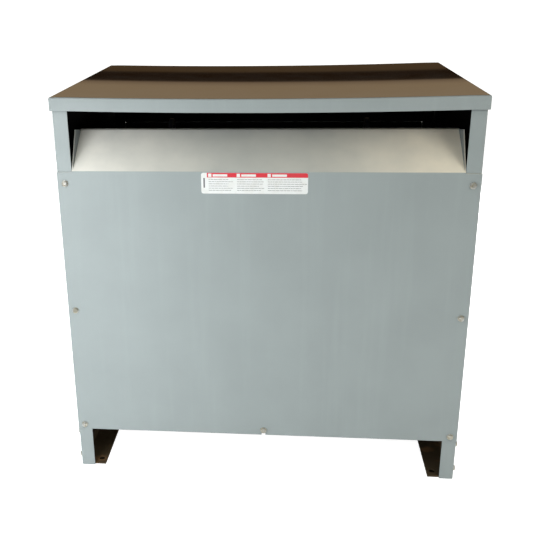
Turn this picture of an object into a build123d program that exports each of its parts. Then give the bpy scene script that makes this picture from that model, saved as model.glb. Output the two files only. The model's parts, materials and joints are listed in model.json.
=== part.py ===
from build123d import *
import os

# Ventilated dry-type three-phase transformer in a screwed sheet-steel enclosure.
# Millimetres. +X is to the right, +Z is up and the front faces -Y.
# The origin is on the floor, under the middle of the enclosure.

# ---- Enclosure ----
overall_w, overall_d, overall_h = 762.0, 508.0, 762.0
roof_overhang_x, roof_overhang_y = 3.0, 4.5
roof_flange = 24.0
sheet = 1.9                 # enclosure steel
bend = 3.0                  # outside radius of its bends
post_flange = 27.5          # side-panel flanges, which are the corner posts
roof_seat_w, roof_seat_l = 20.0, 400.0
roof_stud_r, roof_stud_l, roof_stud_pitch = 3.0, 16.0, 150.0

half_w = overall_w / 2 - roof_overhang_x
half_d = overall_d / 2 - roof_overhang_y
roof_underside = overall_h - sheet
roof_lower_edge = overall_h - roof_flange
post_face = half_d - sheet
post_back = post_face - sheet
post_edge = half_w - post_flange
wall_inside = half_w - sheet
roof_stud_x = wall_inside - roof_seat_w / 2

# ---- Front and rear panels ----
panel_bottom = 86.5
panel_fold = 628.0
panel_wing_top = 626.0      # beside the posts the panel stops just under the fold
hem_depth = 12.0
deflector_run, deflector_rise, deflector_return = 80.0, 61.0, 12.0
deflector_half = post_edge - 0.5
ear_run, ear_h = 42.0, 68.0  # peak of each tapered ear, back from the face and up from the fold
deflector_back = half_d - deflector_run
deflector_top = panel_fold + deflector_rise

# ---- Panel screws ----
screw_r, screw_l = 3.175, 16.0
screw_hole_r = 3.6
washer_r, washer_t = 6.35, 1.1
hex_flats, hex_h = 9.5, 3.3
weld_nut_flats, weld_nut_t = 11.0, 5.0
screw_x = half_w - 14.0
low_screw_z, mid_screw_z, top_screw_z = 98.5, 352.0, 605.0
side_screw_y = half_d - 15.0
side_screw_z = (18.0, 74.0)

# ---- Nuts and bolts, in thread radii ----
flats_per_r, washer_per_r, head_per_r, nut_per_r = 3.2, 0.4, 1.3, 1.6
thread_gap = 0.1            # clearance of every thread, in millimetres

# ---- Front label ----
label_w, label_h, label_t, label_corner = 191.0, 38.5, 0.25, 4.0
label_x, label_z = -17.5, 607.0

# ---- Base ----
rail_w, rail_h, rail_t, rail_bend = 47.5, 86.0, 3.0, 5.0
rail_half_l = post_back - 2.7
anchor_x, anchor_y, anchor_r = 340.0, 226.0, 6.0
cross_w, cross_h, cross_t = 48.0, 40.0, 3.0
cross_half_l = wall_inside - 3.1
mount_y = 84.0              # bolt line of the cross members, pads and core clamps
tie_h, tie_depth = 30.0, 22.0
tie_z = 92.0
tie_half_l = wall_inside - 2.6
pad_x, pad_l, pad_w, pad_h = 230.0, 60.0, 36.0, 15.0
bolt_r, bolt_hole_r = 5.0, 5.5
rail_bolt_x = 350.0

cross_top = rail_h + cross_h

# ---- Core ----
core_w, core_d = 560.0, 110.0
yoke_h, window_h = 80.0, 290.0
leg_w = 80.0
leg_pitch = (core_w - leg_w) / 2
clamp_t, clamp_flange, clamp_half_l, clamp_bend = 5.0, 45.0, 320.0, 7.0
clamp_h = yoke_h + 10.0
clamp_z = cross_top + pad_h
core_z = clamp_z + 7.0
strip_t = 2.0
core_top = core_z + 2 * yoke_h + window_h
core_mid_z = (core_z + core_top) / 2
window_z = core_z + yoke_h
clamp_web_y = core_d / 2 + strip_t
clamp_face_y = clamp_web_y + clamp_t
clamp_edge_y = clamp_web_y + clamp_flange
lower_clamp_top = clamp_z + clamp_h
upper_clamp_z = 2 * core_mid_z - lower_clamp_top
upper_clamp_top = 2 * core_mid_z - clamp_z
clamp_bolt_r, clamp_bolt_hole_r, clamp_bolt_x, clamp_bolt_dz = 6.0, 6.5, 300.0, 20.0
tie_rod_x = leg_pitch / 2

# ---- Lifting brackets ----
bracket_x, bracket_w, bracket_t = 200.0, 60.0, 8.0
eye_z, eye_r, eye_outer_r, eye_base_half = 39.0, 16.0, 28.0, 45.0

# ---- Coils, inside to outside ----
coil_h = 250.0
former_gap, former_t = 2.0, 2.5
lv_inner = (90.0, 120.0)
lv_build, duct, hv_build = 20.0, 12.0, 30.0
lv_outer = (lv_inner[0] + 2 * lv_build, lv_inner[1] + 2 * lv_build)
hv_inner = (lv_outer[0] + 2 * duct, lv_outer[1] + 2 * duct)
hv_outer = (hv_inner[0] + 2 * hv_build, hv_inner[1] + 2 * hv_build)
coil_z = core_mid_z - coil_h / 2
coil_top = coil_z + coil_h
spacer_w, spacer_spread = 8.0, 0.6
block_x, block_w, block_d = 50.0, 30.0, 40.0
phases = {"a": -leg_pitch, "b": 0.0, "c": leg_pitch}
phase_x = list(phases.values())

# ---- High-voltage side, at the front ----
hv_face_y = hv_outer[1] / 2
tap_board_w, tap_board_h, tap_board_t = 70.0, 204.0, 8.0
tap_count, tap_pitch, tap_stud_r, tap_stud_l = 7, 26.0, 3.0, 11.0
tap_washer_r, tap_washer_t, tap_flats, tap_nut_t = 9.0, 1.5, 12.0, 5.0
tap_link_w, tap_link_t = 12.0, 2.0
linked_taps = (2, 3)
board_t, board_half_l = 8.0, 290.0
hv_bar_w, hv_bar_t, hv_bar_top = 30.0, 5.0, upper_clamp_top + 41.0
hv_hole_z, lug_hole_r = hv_bar_top - 20.0, 5.5
link_w, link_t, link_air = 16.0, 4.0, 8.0
link_top_z, link_low_z = upper_clamp_top - 34.0, coil_z - link_w / 2 - 2.0
link_boss_r = 7.0

# ---- Low-voltage side, at the rear ----
lv_bar_w, lv_bar_t, lv_bar_bend = 40.0, 6.0, 8.0
lv_start_y, lv_pad_y = 66.0, 142.0
lv_over_z, lv_pad_top = coil_top + 12.0, upper_clamp_top + 23.0
lv_hole_pitch, lv_hole_mid_z = 44.45, lv_pad_top - 42.0
standoff_r, standoff_groove_r, standoff_z, standoff_ribs = 14.0, 11.0, upper_clamp_z + 21.0, 3
neutral_bus_z, neutral_bus_h = coil_z - 62.0, 40.0
neutral_left, neutral_right = -265.0, 342.0
neutral_hole_x = 302.225

# ---- Grounding ----
ground_bar_w, ground_bar_t, ground_bar_y, ground_bar_l = 24.0, 6.0, -172.0, 100.0
ground_hole_pitch, ground_hole_r = 25.4, 4.5
ground_bolt_dy = 39.0
strap_x, strap_w, strap_t, strap_reach = -120.0, 20.0, 1.5, 14.0

os.makedirs("parts", exist_ok=True)


def save(builder, name):
    """Label a finished piece and write it."""
    builder.part.label = name
    export_step(builder.part, f"parts/{name}.step")


def facing(x, y, z, direction):
    """A plane at a point, facing along an axis, to seat a fastener or a plate on."""
    across = (0, 1, 0) if direction[0] else (1, 0, 0)
    return Plane(origin=(x, y, z), x_dir=across, z_dir=direction)


def bent_profile(points, thickness, radius, side):
    """Section of a bent sheet or bar; the points follow one of its faces."""
    with BuildLine() as outline:
        FilletPolyline(*points, radius=radius)
        offset(amount=thickness, side=side)
    make_face(outline.edges())


def disc(plane, radius, thickness, mode=Mode.ADD):
    """A round disc, stud or hole that starts on a plane."""
    with BuildSketch(plane) as outline:
        Circle(radius)
    extrude(outline.sketch, amount=thickness, mode=mode)


def slab(plane, width, height, thickness):
    """A rectangular plate or block centred on a plane."""
    with BuildSketch(plane) as outline:
        Rectangle(width, height)
    extrude(outline.sketch, amount=thickness)


def hexagon(plane, flats, thickness):
    """A hexagonal head that starts on a plane."""
    with BuildSketch(plane) as outline:
        RegularPolygon(flats / 2, 6, major_radius=False)
    extrude(outline.sketch, amount=thickness)


def panel_screw(seat):
    """Hex washer-head screw; the seat plane is under its head and faces outwards."""
    disc(seat, washer_r, washer_t)
    hexagon(seat.offset(washer_t), hex_flats, hex_h)
    disc(seat, screw_r, -screw_l)


def hex_nut(seat, flats, height, bore_r):
    """Hex nut that stands on its seat plane."""
    with BuildSketch(seat) as outline:
        RegularPolygon(flats / 2, 6, major_radius=False)
        Circle(bore_r, mode=Mode.SUBTRACT)
    extrude(outline.sketch, amount=height)


def hex_bolt(seat, radius, grip):
    """Hex bolt with a washer and nut; the seat plane is under its head, the grip is what it clamps."""
    flats, washer, nut = flats_per_r * radius, washer_per_r * radius, nut_per_r * radius
    disc(seat, 2 * radius, washer)
    hexagon(seat.offset(washer), flats, head_per_r * radius)
    disc(seat, radius, -(grip + nut + radius))
    hex_nut(seat.offset(-grip - nut), flats, nut, radius + thread_gap)


# ---- Enclosure ----

with BuildPart() as side_panel_left:
    with BuildSketch():
        bent_profile(
            [(-post_edge, -post_face), (-half_w, -post_face), (-half_w, post_face), (-post_edge, post_face)],
            sheet, bend, Side.RIGHT)
    extrude(amount=roof_underside)
    # Inward flange at the top, which carries the roof.
    slab(facing(-roof_stud_x, 0, roof_underside, (0, 0, -1)), roof_seat_w, roof_seat_l, sheet)
    # Screw holes through both posts.
    with BuildSketch(Plane.XZ):
        with Locations([(-screw_x, z) for z in (low_screw_z, mid_screw_z, top_screw_z)]):
            Circle(screw_hole_r)
    extrude(amount=half_d, both=True, mode=Mode.SUBTRACT)
    with BuildSketch(Plane.YZ):
        with Locations([(y, z) for y in (-side_screw_y, side_screw_y) for z in side_screw_z]):
            Circle(screw_hole_r)
    extrude(amount=-half_w, mode=Mode.SUBTRACT)
    for y in (-roof_stud_pitch, 0, roof_stud_pitch):
        disc(facing(-roof_stud_x, y, roof_underside, (0, 0, -1)), screw_hole_r, sheet, Mode.SUBTRACT)
save(side_panel_left, "side_panel_left")

with BuildPart() as side_panel_right:
    mirror(side_panel_left.part, about=Plane.YZ)
save(side_panel_right, "side_panel_right")

with BuildPart() as roof:
    slab(Plane.XY.offset(roof_lower_edge), overall_w, overall_d, roof_flange)
    fillet(roof.edges().filter_by(Axis.Z), bend)
    fillet(roof.faces().sort_by(Axis.Z)[-1].edges(), bend)
    offset(amount=-sheet, openings=roof.faces().sort_by(Axis.Z)[0])
    for x in (-roof_stud_x, roof_stud_x):
        for y in (-roof_stud_pitch, 0, roof_stud_pitch):
            disc(facing(x, y, roof_underside, (0, 0, -1)), roof_stud_r, roof_stud_l)
save(roof, "roof")

with BuildPart() as roof_nuts:
    for x in (-roof_stud_x, roof_stud_x):
        for y in (-roof_stud_pitch, 0, roof_stud_pitch):
            seat = facing(x, y, roof_underside - sheet, (0, 0, -1))
            hex_nut(seat, flats_per_r * roof_stud_r, nut_per_r * roof_stud_r, roof_stud_r + thread_gap)
save(roof_nuts, "roof_nuts")

with BuildPart() as front_panel:
    # Hem, face, air deflector and its return flange are one bent sheet between the posts.
    with BuildSketch(Plane.YZ):
        bent_profile([
            (hem_depth - half_d, panel_bottom),
            (-half_d, panel_bottom),
            (-half_d, panel_fold),
            (-deflector_back, deflector_top),
            (deflector_return - deflector_back, deflector_top)], sheet, bend, Side.RIGHT)
    extrude(amount=deflector_half, both=True)
    # The face runs on over the posts, and each end of the deflector has a tapered ear.
    wing_w = half_w - deflector_half
    wing_h = panel_wing_top - panel_bottom
    slope_l = (deflector_run ** 2 + deflector_rise ** 2) ** 0.5
    ear_foot = (bend * deflector_run / slope_l - half_d, panel_fold + bend * deflector_rise / slope_l)
    for side in (-1, 1):
        wing_middle = facing(side * (half_w - wing_w / 2), -half_d, panel_bottom + wing_h / 2, (0, 1, 0))
        slab(wing_middle, wing_w, wing_h, sheet)
        with BuildSketch(Plane.YZ.offset(side * deflector_half)):
            with BuildLine():
                Polyline(ear_foot, (ear_run - half_d, panel_fold + ear_h), (-deflector_back, deflector_top),
                         ear_foot)
            make_face()
        extrude(amount=-side * sheet)
    for x in (-screw_x, screw_x):
        for z in (mid_screw_z, top_screw_z):
            disc(facing(x, -half_d, z, (0, 1, 0)), screw_hole_r, sheet, Mode.SUBTRACT)
    # The lower screws sit in slots that are open at the bottom edge.
    with BuildSketch(Plane.XZ.offset(half_d)):
        with Locations([(x, low_screw_z) for x in (-screw_x, 0, screw_x)]):
            Circle(screw_hole_r)
            Rectangle(2 * screw_hole_r, hem_depth, align=(Align.CENTER, Align.MAX))
    extrude(amount=-hem_depth, mode=Mode.SUBTRACT)
save(front_panel, "front_panel")

with BuildPart() as rear_panel:
    mirror(front_panel.part, about=Plane.XZ)
save(rear_panel, "rear_panel")

panel_screw_places = [(x, z) for x in (-screw_x, screw_x) for z in (low_screw_z, mid_screw_z, top_screw_z)]
panel_screw_places.append((0, low_screw_z))

with BuildPart() as front_panel_screws:
    for x, z in panel_screw_places:
        panel_screw(facing(x, -half_d, z, (0, -1, 0)))
save(front_panel_screws, "front_panel_screws")

with BuildPart() as rear_panel_screws:
    mirror(front_panel_screws.part, about=Plane.XZ)
save(rear_panel_screws, "rear_panel_screws")

with BuildPart() as side_screws:
    for side in (-1, 1):
        for y in (-side_screw_y, side_screw_y):
            for z in side_screw_z:
                panel_screw(facing(side * half_w, y, z, (side, 0, 0)))
save(side_screws, "side_screws")

with BuildPart() as panel_weld_nuts:
    for end in (-1, 1):
        for x, z in panel_screw_places:
            # The lowest nuts are on the tie rail, the others on the posts.
            nut_y = post_back - sheet if z == low_screw_z else post_back
            hex_nut(facing(x, end * nut_y, z, (0, -end, 0)), weld_nut_flats, weld_nut_t, screw_r + thread_gap)
save(panel_weld_nuts, "panel_weld_nuts")

with BuildPart() as front_label:
    with BuildSketch(Plane.XZ.offset(half_d)):
        with Locations((label_x, label_z)):
            RectangleRounded(label_w, label_h, label_corner)
    extrude(amount=label_t)
save(front_label, "front_label")

# ---- Base ----

with BuildPart() as lower_tie_rail_front:
    with BuildSketch(Plane.YZ):
        bent_profile([
            (-post_back, tie_z),
            (-post_back, tie_z + tie_h),
            (tie_depth - post_back, tie_z + tie_h)], sheet, bend, Side.RIGHT)
    extrude(amount=tie_half_l, both=True)
    for x in (-screw_x, 0, screw_x):
        disc(facing(x, -post_back, low_screw_z, (0, 1, 0)), screw_hole_r, sheet, Mode.SUBTRACT)
save(lower_tie_rail_front, "lower_tie_rail_front")

with BuildPart() as lower_tie_rail_rear:
    mirror(lower_tie_rail_front.part, about=Plane.XZ)
save(lower_tie_rail_rear, "lower_tie_rail_rear")


def base_rail(bolt_places):
    """Channel along the left side; it opens inwards and has anchor holes in its lower flange."""
    rail_inner = wall_inside - rail_w
    with BuildPart() as rail:
        with BuildSketch(Plane.XZ):
            bent_profile([
                (-rail_inner, 0),
                (-wall_inside, 0),
                (-wall_inside, rail_h),
                (-rail_inner, rail_h)], rail_t, rail_bend, Side.RIGHT)
        extrude(amount=rail_half_l, both=True)
        for y in (-anchor_y, anchor_y):
            disc(facing(-anchor_x, y, 0, (0, 0, 1)), anchor_r, rail_t, Mode.SUBTRACT)
        for y, radius in bolt_places:
            disc(facing(-rail_bolt_x, y, rail_h, (0, 0, -1)), radius, rail_t, Mode.SUBTRACT)
        with BuildSketch(Plane.YZ.offset(-wall_inside)):
            with Locations([(y, z) for y in (-side_screw_y, side_screw_y) for z in side_screw_z]):
                Circle(screw_r + thread_gap)
        extrude(amount=rail_t, mode=Mode.SUBTRACT)
    return rail


cross_bolt_places = [(-mount_y, bolt_hole_r), (mount_y, bolt_hole_r)]
ground_bolt_y = [ground_bar_y - ground_bolt_dy, ground_bar_y + ground_bolt_dy]
ground_lug_y = [ground_bar_y - ground_hole_pitch / 2, ground_bar_y + ground_hole_pitch / 2]
ground_places = [(y, bolt_hole_r) for y in ground_bolt_y] + [(y, ground_hole_r) for y in ground_lug_y]

base_rail_left = base_rail(cross_bolt_places + ground_places)
save(base_rail_left, "base_rail_left")

plain_rail = base_rail(cross_bolt_places)
with BuildPart() as base_rail_right:
    mirror(plain_rail.part, about=Plane.YZ)
save(base_rail_right, "base_rail_right")

with BuildPart() as cross_member_front:
    inner_y, outer_y = -(mount_y - cross_w / 2), -(mount_y + cross_w / 2)
    with BuildSketch(Plane.YZ):
        bent_profile([
            (inner_y, rail_h),
            (outer_y, rail_h),
            (outer_y, cross_top),
            (inner_y, cross_top)], cross_t, rail_bend, Side.RIGHT)
    extrude(amount=cross_half_l, both=True)
    for side in (-1, 1):
        disc(facing(side * rail_bolt_x, -mount_y, rail_h, (0, 0, 1)), bolt_hole_r, cross_t, Mode.SUBTRACT)
        disc(facing(side * pad_x, -mount_y, cross_top, (0, 0, -1)), bolt_hole_r, cross_t, Mode.SUBTRACT)
save(cross_member_front, "cross_member_front")

with BuildPart() as cross_member_rear:
    mirror(cross_member_front.part, about=Plane.XZ)
save(cross_member_rear, "cross_member_rear")

with BuildPart() as rail_bolts:
    for x in (-rail_bolt_x, rail_bolt_x):
        for y in (-mount_y, mount_y):
            hex_bolt(facing(x, y, rail_h + cross_t, (0, 0, 1)), bolt_r, cross_t + rail_t)
    for y in ground_bolt_y:
        hex_bolt(facing(-rail_bolt_x, y, rail_h + ground_bar_t, (0, 0, 1)), bolt_r, ground_bar_t + rail_t)
save(rail_bolts, "rail_bolts")

with BuildPart() as isolation_pads:
    for x in (-pad_x, pad_x):
        for y in (-mount_y, mount_y):
            slab(facing(x, y, cross_top, (0, 0, 1)), pad_l, pad_w, pad_h)
            disc(facing(x, y, cross_top, (0, 0, 1)), bolt_hole_r, pad_h, Mode.SUBTRACT)
save(isolation_pads, "isolation_pads")

with BuildPart() as pad_bolts:
    for x in (-pad_x, pad_x):
        for y in (-mount_y, mount_y):
            hex_bolt(facing(x, y, clamp_z + clamp_t, (0, 0, 1)), bolt_r, clamp_t + pad_h + cross_t)
save(pad_bolts, "pad_bolts")

# ---- Laminated core ----

for name, z in (("core_lower_yoke", core_z), ("core_upper_yoke", core_top - yoke_h)):
    with BuildPart() as yoke:
        slab(Plane.XY.offset(z), core_w, core_d, yoke_h)
    save(yoke, name)

for phase, x in phases.items():
    with BuildPart() as core_leg:
        slab(facing(x, 0, window_z, (0, 0, 1)), leg_w, core_d, window_h)
    save(core_leg, f"core_leg_{phase}")

with BuildPart() as yoke_insulation:
    for y in (-clamp_web_y + strip_t / 2, clamp_web_y - strip_t / 2):
        for z in (core_z, core_top - yoke_h):
            slab(facing(0, y, z, (0, 0, 1)), core_w, strip_t, yoke_h)
save(yoke_insulation, "yoke_insulation")

# ---- Core clamps ----


def core_clamp(name, z, lower, end):
    """Channel along one side of a yoke; its flanges point away from the core."""
    with BuildPart() as clamp:
        with BuildSketch(Plane.YZ):
            bent_profile([
                (-clamp_edge_y, z),
                (-clamp_web_y, z),
                (-clamp_web_y, z + clamp_h),
                (-clamp_edge_y, z + clamp_h)], clamp_t, clamp_bend, Side.LEFT)
        extrude(amount=clamp_half_l, both=True)
        for x in (-clamp_bolt_x, clamp_bolt_x):
            for dz in (-clamp_bolt_dz, clamp_bolt_dz):
                seat = facing(x, -clamp_web_y, z + clamp_h / 2 + dz, (0, -1, 0))
                disc(seat, clamp_bolt_hole_r, clamp_t, Mode.SUBTRACT)
        # Pad bolts or bracket bolts go through one flange and the tie rods through the other.
        outer_flange, inner_flange = (z, z + clamp_h) if lower else (z + clamp_h, z)
        outer_x = pad_x if lower else bracket_x
        for flange, hole_x in ((outer_flange, outer_x), (inner_flange, tie_rod_x)):
            into_clamp = (0, 0, 1) if flange == z else (0, 0, -1)
            for x in (-hole_x, hole_x):
                disc(facing(x, -mount_y, flange, into_clamp), bolt_hole_r, clamp_t, Mode.SUBTRACT)
    if end == "front":
        save(clamp, name)
        return
    with BuildPart() as rear_clamp:
        mirror(clamp.part, about=Plane.XZ)
    save(rear_clamp, name)


for end in ("front", "rear"):
    core_clamp(f"lower_core_clamp_{end}", clamp_z, True, end)
    core_clamp(f"upper_core_clamp_{end}", upper_clamp_z, False, end)

with BuildPart() as clamp_bolts:
    for x in (-clamp_bolt_x, clamp_bolt_x):
        for z in (clamp_z + clamp_h / 2, upper_clamp_z + clamp_h / 2):
            for dz in (-clamp_bolt_dz, clamp_bolt_dz):
                hex_bolt(facing(x, -clamp_face_y, z + dz, (0, -1, 0)), clamp_bolt_r, 2 * clamp_face_y)
save(clamp_bolts, "clamp_bolts")

with BuildPart() as core_tie_rods:
    for x in (-tie_rod_x, tie_rod_x):
        for y in (-mount_y, mount_y):
            rod_top = upper_clamp_z + clamp_t
            hex_bolt(facing(x, y, rod_top, (0, 0, 1)), bolt_r, rod_top - lower_clamp_top + clamp_t)
save(core_tie_rods, "core_tie_rods")

for name, side in (("lifting_bracket_left", -1), ("lifting_bracket_right", 1)):
    with BuildPart() as bracket:
        plate_top = upper_clamp_top + bracket_t
        slab(facing(side * bracket_x, 0, upper_clamp_top, (0, 0, 1)), bracket_w, 2 * clamp_edge_y, bracket_t)
        with BuildSketch(Plane.YZ.offset(side * bracket_x - bracket_t / 2)):
            with BuildLine():
                Polyline((-eye_base_half, plate_top), (eye_base_half, plate_top),
                         (eye_outer_r, plate_top + eye_z), (-eye_outer_r, plate_top + eye_z),
                         (-eye_base_half, plate_top))
            make_face()
            with Locations((0, plate_top + eye_z)):
                Circle(eye_outer_r)
                Circle(eye_r, mode=Mode.SUBTRACT)
        extrude(amount=bracket_t)
        for y in (-mount_y, mount_y):
            seat = facing(side * bracket_x, y, plate_top, (0, 0, -1))
            disc(seat, bolt_hole_r, bracket_t, Mode.SUBTRACT)
    save(bracket, name)

with BuildPart() as bracket_bolts:
    for x in (-bracket_x, bracket_x):
        for y in (-mount_y, mount_y):
            hex_bolt(facing(x, y, upper_clamp_top + bracket_t, (0, 0, 1)), bolt_r, bracket_t + clamp_t)
save(bracket_bolts, "lifting_bracket_bolts")

# ---- Coils ----


def coil_tube(x, z, height, inner, outer):
    """Rectangular tube with round corners round one leg of the core."""
    with BuildSketch(facing(x, 0, z, (0, 0, 1))) as ring:
        RectangleRounded(*outer, (outer[0] - inner[0]) / 2 + bend)
        RectangleRounded(*inner, bend, mode=Mode.SUBTRACT)
    extrude(ring.sketch, amount=height)


with BuildPart() as coil_formers:
    former_inner = (leg_w + 2 * former_gap, core_d + 2 * former_gap)
    former_outer = (former_inner[0] + 2 * former_t, former_inner[1] + 2 * former_t)
    for x in phase_x:
        coil_tube(x, window_z + former_gap, window_h - 2 * former_gap, former_inner, former_outer)
save(coil_formers, "coil_formers")

with BuildPart() as duct_spacers:
    spacer_y = (lv_outer[1] + hv_inner[1]) / 4
    spacer_x = (lv_outer[0] + hv_inner[0]) / 4
    for x in phase_x:
        for end in (-1, 1):
            for dx in (-spacer_spread * spacer_x, 0, spacer_spread * spacer_x):
                slab(facing(x + dx, end * spacer_y, coil_z, (0, 0, 1)), spacer_w, duct, coil_h)
            for dy in (-spacer_spread * spacer_y, 0, spacer_spread * spacer_y):
                slab(facing(x + end * spacer_x, dy, coil_z, (0, 0, 1)), duct, spacer_w, coil_h)
save(duct_spacers, "duct_spacers")

for phase, x in phases.items():
    with BuildPart() as lv_winding:
        coil_tube(x, coil_z, coil_h, lv_inner, lv_outer)
    save(lv_winding, f"lv_winding_{phase}")
    with BuildPart() as hv_winding:
        coil_tube(x, coil_z, coil_h, hv_inner, hv_outer)
    save(hv_winding, f"hv_winding_{phase}")

coil_gaps = {
    "coil_blocks_lower": (lower_clamp_top, coil_z),
    "coil_blocks_upper": (coil_top, upper_clamp_z)}
for name, (low, high) in coil_gaps.items():
    with BuildPart() as coil_blocks:
        for x in phase_x:
            for dx in (-block_x, block_x):
                for end in (-1, 1):
                    block_y = end * (clamp_edge_y - block_d / 2)
                    slab(facing(x + dx, block_y, low, (0, 0, 1)), block_w, block_d, high - low)
    save(coil_blocks, name)

# ---- High-voltage taps and terminals ----

tap_face_y = hv_face_y + tap_board_t

with BuildPart() as tap_boards:
    for x in phase_x:
        slab(facing(x, -hv_face_y, core_mid_z, (0, -1, 0)), tap_board_w, tap_board_h, tap_board_t)
save(tap_boards, "tap_boards")

with BuildPart() as tap_terminals:
    for x in phase_x:
        for i in range(tap_count):
            z = core_mid_z + (i - (tap_count - 1) / 2) * tap_pitch
            seat = facing(x, -tap_face_y - tap_link_t, z, (0, -1, 0))
            disc(seat, tap_washer_r, tap_washer_t)
            if i not in linked_taps:
                disc(seat, tap_washer_r, -tap_link_t)
            hexagon(seat.offset(tap_washer_t), tap_flats, tap_nut_t)
            disc(seat.offset(-tap_link_t), tap_stud_r, tap_stud_l + tap_link_t)
save(tap_terminals, "tap_terminals")

with BuildPart() as tap_links:
    for x in phase_x:
        # The link joins the middle terminal to the one below it.
        slab(facing(x, -tap_face_y, core_mid_z - tap_pitch / 2, (0, -1, 0)),
             tap_link_w, tap_pitch + tap_link_w, tap_link_t)
        for dz in (-tap_pitch, 0):
            seat = facing(x, -tap_face_y, core_mid_z + dz, (0, -1, 0))
            disc(seat, tap_stud_r + thread_gap, tap_link_t, Mode.SUBTRACT)
save(tap_links, "tap_links")

board_front = clamp_edge_y + board_t
board_h = upper_clamp_top - upper_clamp_z
board_mid_z = (upper_clamp_top + upper_clamp_z) / 2

with BuildPart() as hv_terminal_board:
    slab(facing(0, -clamp_edge_y, board_mid_z, (0, -1, 0)), 2 * board_half_l, board_h, board_t)
save(hv_terminal_board, "hv_terminal_board")

hv_bar_face = board_front + hv_bar_t
hv_bar_mid_z = (coil_top + hv_bar_top) / 2

with BuildPart() as hv_terminals:
    for x in phase_x:
        slab(facing(x, -board_front, hv_bar_mid_z, (0, -1, 0)), hv_bar_w, hv_bar_top - coil_top, hv_bar_t)
        disc(facing(x, -hv_bar_face, hv_hole_z, (0, 1, 0)), lug_hole_r, hv_bar_t, Mode.SUBTRACT)
save(hv_terminals, "hv_terminals")


def delta_link(name, start_x, drop_x, end_x, air):
    """Flat bar from one phase's terminal, down a gap between coils, to the foot of another phase's coil."""
    back_y = hv_bar_face + air
    with BuildPart() as link:
        with BuildSketch(Plane.XZ.offset(back_y)):
            half = link_w / 2
            with Locations(((start_x + drop_x) / 2, link_top_z)):
                Rectangle(abs(start_x - drop_x) + link_w, link_w)
            with Locations((drop_x, (link_top_z + link_low_z) / 2)):
                Rectangle(link_w, link_top_z - link_low_z + link_w)
            with Locations(((drop_x + end_x) / 2, link_low_z)):
                Rectangle(abs(drop_x - end_x) + link_w, link_w)
        extrude(amount=link_t)
        # Stub up to the foot of the coil, and a spacer where the bar stands off its terminal.
        stub_depth = back_y + link_t - hv_bar_face
        stub_middle = -(hv_bar_face + stub_depth / 2)
        stub_h = coil_z - link_low_z + half
        slab(facing(end_x, stub_middle, link_low_z - half, (0, 0, 1)), link_w, stub_depth, stub_h)
        if air:
            disc(facing(start_x, -hv_bar_face, link_top_z, (0, -1, 0)), link_boss_r, air)
    save(link, name)


gap_ab, gap_bc = -leg_pitch / 2, leg_pitch / 2
delta_link("delta_link_ab", phases["a"], gap_ab, phases["b"], 0)
delta_link("delta_link_bc", phases["b"], gap_bc, phases["c"], 0)
delta_link("delta_link_ca", phases["c"], gap_ab, phases["a"], link_t + link_air)

# ---- Low-voltage terminals ----

with BuildPart() as lv_terminal_board:
    slab(facing(0, clamp_edge_y, board_mid_z, (0, 1, 0)), 2 * board_half_l, board_h, board_t)
save(lv_terminal_board, "lv_terminal_board")

with BuildPart() as lv_standoffs:
    length = lv_pad_y - board_front
    rib = length / (2 * standoff_ribs + 1)
    for x in phase_x:
        seat = facing(x, board_front, standoff_z, (0, 1, 0))
        disc(seat, standoff_groove_r, length)
        for i in range(standoff_ribs + 1):
            disc(seat.offset(2 * i * rib), standoff_r, rib)
save(lv_standoffs, "lv_standoffs")

with BuildPart() as lv_terminals:
    with BuildSketch(Plane.YZ):
        bent_profile([
            (lv_start_y, coil_top),
            (lv_start_y, lv_over_z),
            (lv_pad_y, lv_over_z),
            (lv_pad_y, lv_pad_top)], lv_bar_t, lv_bar_bend, Side.RIGHT)
    extrude(amount=lv_bar_w / 2, both=True)
    for z in (lv_hole_mid_z - lv_hole_pitch / 2, lv_hole_mid_z + lv_hole_pitch / 2):
        disc(facing(0, lv_pad_y, z, (0, 1, 0)), lug_hole_r, lv_bar_t, Mode.SUBTRACT)
    middle_bar = lv_terminals.part
    for x in (-leg_pitch, leg_pitch):
        add(middle_bar.moved(Location((x, 0, 0))))
save(lv_terminals, "lv_terminals")

with BuildPart() as neutral_bar:
    low_run_z = coil_z - (lv_over_z - coil_top)
    for x in phase_x:
        with BuildSketch(Plane.YZ.offset(x)):
            bent_profile([
                (lv_start_y, coil_z),
                (lv_start_y, low_run_z),
                (lv_pad_y, low_run_z),
                (lv_pad_y, neutral_bus_z)], lv_bar_t, lv_bar_bend, Side.LEFT)
        extrude(amount=lv_bar_w / 2, both=True)
    bus_middle, bus_l = (neutral_left + neutral_right) / 2, neutral_right - neutral_left
    bus_mid_z = neutral_bus_z + neutral_bus_h / 2
    slab(facing(bus_middle, lv_pad_y, bus_mid_z, (0, 1, 0)), bus_l, neutral_bus_h, lv_bar_t)
    for x in (neutral_hole_x - lv_hole_pitch / 2, neutral_hole_x + lv_hole_pitch / 2):
        disc(facing(x, lv_pad_y, bus_mid_z, (0, 1, 0)), lug_hole_r, lv_bar_t, Mode.SUBTRACT)
save(neutral_bar, "neutral_bar")

# ---- Grounding ----

with BuildPart() as ground_bar:
    slab(facing(-rail_bolt_x, ground_bar_y, rail_h, (0, 0, 1)), ground_bar_w, ground_bar_l, ground_bar_t)
    for y, radius in ground_places:
        disc(facing(-rail_bolt_x, y, rail_h, (0, 0, 1)), radius, ground_bar_t, Mode.SUBTRACT)
save(ground_bar, "ground_bar")

with BuildPart() as bonding_strap:
    strap_top = clamp_z + clamp_t + strap_t
    loop_y = -(mount_y + cross_w / 2) - strap_reach / 2
    with BuildSketch(Plane.YZ.offset(strap_x)):
        bent_profile([
            (-mount_y, strap_top),
            (loop_y, strap_top),
            (loop_y, cross_top),
            (-mount_y, cross_top)], strap_t, strap_reach / 3, Side.LEFT)
    extrude(amount=strap_w / 2, both=True)
save(bonding_strap, "bonding_strap")
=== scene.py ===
import json
import math
import random

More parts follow.
